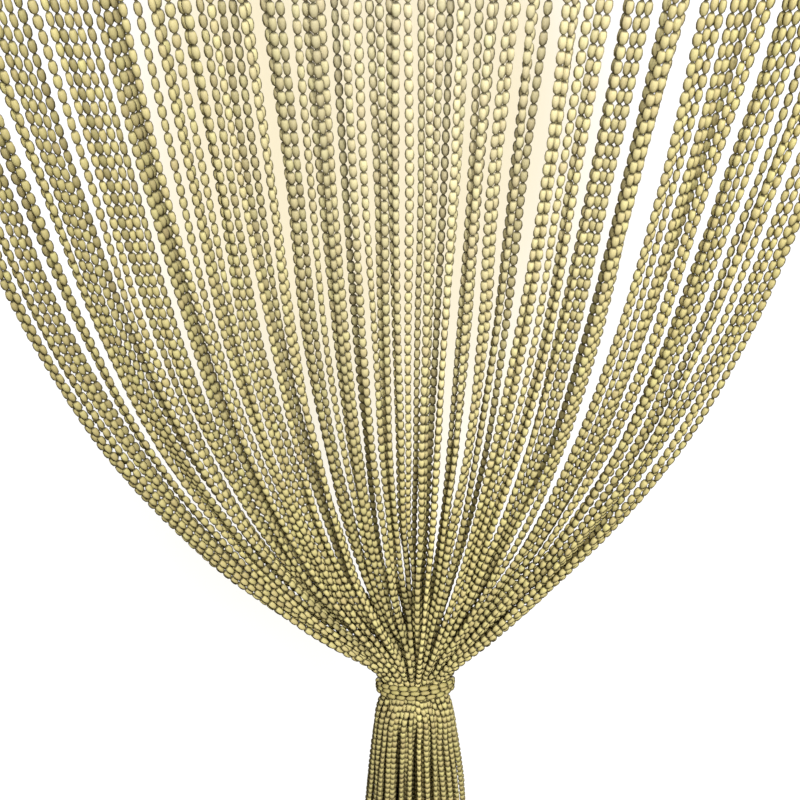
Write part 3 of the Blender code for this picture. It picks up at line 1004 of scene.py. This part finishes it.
# The tie's beads are the same plastic as the strings; their darker colours are painted shade.
shaded_tie_khaki = bead_material("tie_beads", (0.350, 0.290, 0.075), (0.350, 0.290, 0.075),
                          (0.010, 0.007, 0.0005), (0.004, 0.0028, 0.0002))
for piece in strings:
    piece.data.materials.append(khaki)
tie.data.materials.append(shaded_tie_khaki)
print("bead finishes made")

# %% [markdown]
# ## Yarn
# The tape and its sewing thread are of the same woven yarn, so one node group holds the
# weave: ribs across, rows along, with painted shade in the dips. Two waves multiplied give
# both, and the same product drives the bump.

# %% Woven yarn group
RIB_SCALE = 320.0
RIB_UNEVENNESS = 0.6
ROW_SCALE = 260.0


def woven_yarn_group():
    """Colour and height of plain weave, with painted shade in the dips, from the place on the piece."""
    group = bpy.data.node_groups.new("woven yarn", "ShaderNodeTree")
    group_sockets(
        group,
        (
            ("Colour", "NodeSocketColor", (0.4, 0.35, 0.15, 1.0)),
            ("Dip Shade Colour", "NodeSocketColor", (0.2, 0.18, 0.08, 1.0)),
        ),
        (
            ("Colour", "NodeSocketColor"),
            ("Height", "NodeSocketFloat"),
        ),
    )
    feed = add_node(group, "NodeGroupInput")
    result = add_node(group, "NodeGroupOutput")
    place = add_node(group, "ShaderNodeTexCoord")
    ribs = add_node(group, "ShaderNodeTexWave", wave_type="BANDS", bands_direction="X")
    ribs.inputs["Scale"].default_value = RIB_SCALE
    ribs.inputs["Distortion"].default_value = RIB_UNEVENNESS
    rows = add_node(group, "ShaderNodeTexWave", wave_type="BANDS", bands_direction="Z")
    rows.inputs["Scale"].default_value = ROW_SCALE
    group.links.new(place.outputs["Object"], ribs.inputs["Vector"])
    group.links.new(place.outputs["Object"], rows.inputs["Vector"])
    weave = add_node(group, "ShaderNodeMath", operation="MULTIPLY")
    group.links.new(ribs.outputs["Fac"], weave.inputs[0])
    group.links.new(rows.outputs["Fac"], weave.inputs[1])
    # Painted shade in the dips of the weave: the colour is mixed towards the darker dip colour.
    tint = add_node(group, "ShaderNodeMix", data_type="RGBA")
    group.links.new(weave.outputs[0], tint.inputs["Factor"])
    group.links.new(feed.outputs["Dip Shade Colour"], tint.inputs["A"])
    group.links.new(feed.outputs["Colour"], tint.inputs["B"])
    group.links.new(tint.outputs["Result"], result.inputs["Colour"])
    group.links.new(weave.outputs[0], result.inputs["Height"])
    return group


woven_yarn = woven_yarn_group()


# %% Tape and thread materials
# How dark the painted shade in the dips of the weave is.
DIP_SHADE = 0.6
WEAVE_BUMP = 0.4
WEAVE_DEPTH = 0.0005
YARN_ROUGHNESS = 0.85
YARN_SHINE = 0.1


def tape_material(name, colour):
    """Matte cotton yarn, woven, with painted shade in its dips."""
    finish, tree, shader = new_material(name)
    effect = add_node(tree, "ShaderNodeGroup", node_tree=woven_yarn)
    effect.inputs["Colour"].default_value = (*colour, 1.0)
    effect.inputs["Dip Shade Colour"].default_value = (*[part * DIP_SHADE for part in colour], 1.0)
    tree.links.new(effect.outputs["Colour"], shader.inputs["Base Color"])
    bump = add_node(tree, "ShaderNodeBump")
    bump.inputs["Strength"].default_value = WEAVE_BUMP
    bump.inputs["Distance"].default_value = WEAVE_DEPTH
    tree.links.new(effect.outputs["Height"], bump.inputs["Height"])
    tree.links.new(bump.outputs["Normal"], shader.inputs["Normal"])
    shader.inputs["Roughness"].default_value = YARN_ROUGHNESS
    shader.inputs["Specular IOR Level"].default_value = YARN_SHINE
    return finish


tape_cloth = tape_material("woven_tape", (0.42, 0.34, 0.12))
sewing = tape_material("sewing_thread", (0.50, 0.41, 0.15))
tape.data.materials.append(tape_cloth)
stitches.data.materials.append(sewing)
threads.data.materials.append(sewing)
print("tape finishes made")

# %% [markdown]
# ## Stage and light
# A pale floor lies below the hem, with painted warm shade behind the middle of the curtain.
# Most of the light comes from high in front, softened by lamps near the camera and at both
# sides, so each bead is bright on its upper front and the gaps between the strings stay dark.
# The lamps are cool and the room is warm, which keeps the shaded khaki from turning grey.

# %% Stage
FLOOR_Z = -2.06
FLOOR_SIZE = 16.0
FLOOR_BEHIND = 2.0
FLOOR_AS_SEEN = (1.0, 1.0, 1.0)
# The colour of the painted warm shade behind the middle of the curtain.
FLOOR_WARM_SHADE = (0.85, 0.765, 0.54)
FLOOR_AS_LIT = (0.09, 0.07, 0.03)
FLOOR_ROUGHNESS = 0.9
WARM_PLACE = (-0.10, 1.10)
WARM_REACH = (0.95, 2.85)
WARM_FULL_FROM = 0.52


def floor_material():
    """A floor that looks evenly pale, with a soft pool of painted warm shade, and throws back little
    light.
    """
    finish, tree, shader = new_material("pale_floor")
    shader.inputs["Base Color"].default_value = (*FLOOR_AS_LIT, 1.0)
    shader.inputs["Roughness"].default_value = FLOOR_ROUGHNESS
    place = add_node(tree, "ShaderNodeTexCoord")
    moved = add_node(tree, "ShaderNodeMapping", vector_type="TEXTURE")
    moved.inputs["Location"].default_value = (*WARM_PLACE, 0.0)
    moved.inputs["Scale"].default_value = (*WARM_REACH, 1.0)
    tree.links.new(place.outputs["Object"], moved.inputs["Vector"])
    # Painted warm shade: a soft pool behind the middle of the curtain, mixed into the floor's glow.
    pool = add_node(tree, "ShaderNodeTexGradient", gradient_type="SPHERICAL")
    tree.links.new(moved.outputs["Vector"], pool.inputs["Vector"])
    soft = add_node(tree, "ShaderNodeMapRange", interpolation_type="SMOOTHSTEP")
    soft.inputs["From Max"].default_value = WARM_FULL_FROM
    tree.links.new(pool.outputs["Fac"], soft.inputs["Value"])
    warm_shade = add_node(tree, "ShaderNodeMix", data_type="RGBA")
    warm_shade.inputs["A"].default_value = (*FLOOR_AS_SEEN, 1.0)
    warm_shade.inputs["B"].default_value = (*FLOOR_WARM_SHADE, 1.0)
    tree.links.new(soft.outputs["Result"], warm_shade.inputs["Factor"])
    tree.links.new(warm_shade.outputs["Result"], shader.inputs["Emission Color"])
    seen = add_node(tree, "ShaderNodeLightPath")
    tree.links.new(seen.outputs["Is Camera Ray"], shader.inputs["Emission Strength"])
    return finish


bpy.ops.mesh.primitive_plane_add(size=FLOOR_SIZE, location=(0.0, FLOOR_BEHIND, FLOOR_Z))
floor = bpy.context.object
floor.name = "floor"
floor.data.materials.append(floor_material())
print("floor laid", round(-FLOOR_Z, 2), "m below the heading's top edge")

# %% Light
LIGHT_ROWS = (
    # name, kind, place, aim, size, power
    ("high_front", "SUN", (0.6, -1.8, 1.7), (0.0, 0.0, -0.9), 0.16, 4.4),
    ("behind", "SUN", (0.3, 2.0, -0.7), (0.0, 0.0, -0.9), 0.60, 1.8),
    ("left", "AREA", (-1.15, -0.85, -0.1), (0.0, 0.0, -0.9), 0.5, 4.0),
    ("right", "AREA", (1.15, -0.85, -0.1), (0.0, 0.0, -0.9), 0.5, 8.0),
    ("near_camera", "AREA", (0.05, -0.95, 0.10), (0.01, 0.0, -0.35), 0.35, 10.0),
)
LAMP_COLOUR = (0.94, 0.97, 1.45)
ROOM_STRENGTH = 0.012
ROOM_COLOUR = (1.0, 0.85, 0.45)
BACKDROP_COLOUR = (1.0, 1.0, 1.0)
VIEW_TRANSFORM = "Standard"


def soft_room():
    """A dim warm room that looks white where the camera sees it."""
    world = bpy.data.worlds.new("soft room")
    world.use_nodes = True
    tree = world.node_tree
    room = tree.nodes["Background"]
    room.inputs["Color"].default_value = (*ROOM_COLOUR, 1.0)
    room.inputs["Strength"].default_value = ROOM_STRENGTH
    backdrop = add_node(tree, "ShaderNodeBackground")
    backdrop.inputs["Color"].default_value = (*BACKDROP_COLOUR, 1.0)
    looked_at = add_node(tree, "ShaderNodeLightPath")
    either = add_node(tree, "ShaderNodeMixShader")
    tree.links.new(looked_at.outputs["Is Camera Ray"], either.inputs[0])
    tree.links.new(room.outputs[0], either.inputs[1])
    tree.links.new(backdrop.outputs[0], either.inputs[2])
    tree.links.new(either.outputs[0], tree.nodes["World Output"].inputs["Surface"])
    return world


bpy.context.scene.world = soft_room()
for name, kind, place, aim, size, power in LIGHT_ROWS:
    lamp_data = bpy.data.lights.new(name, kind)
    if kind == "SUN":
        lamp_data.angle = size
    else:
        lamp_data.size = size
    lamp_data.energy = power
    lamp_data.color = LAMP_COLOUR
    lamp = bpy.data.objects.new(name, lamp_data)
    lamp.location = place
    way = Vector(aim) - Vector(place)
    lamp.rotation_euler = way.to_track_quat("-Z", "Y").to_euler()
    bpy.context.scene.collection.objects.link(lamp)
bpy.context.scene.view_settings.view_transform = VIEW_TRANSFORM
print("lit by", len(LIGHT_ROWS), "soft lights and a pale room")

# %% [markdown]
# ## Hang the pieces on the body and hide the solids they stand for
# Nothing here moves, so every piece rides on the one body. The strings, threads and tape
# together stand for the solid strands, and the beaded tie stands for the solid tie.

# %% Ride and replace
for piece in (*strings, tape, stitches, threads):
    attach(piece, "root")
    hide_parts("strands")
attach(tie, "root")
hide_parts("tie")
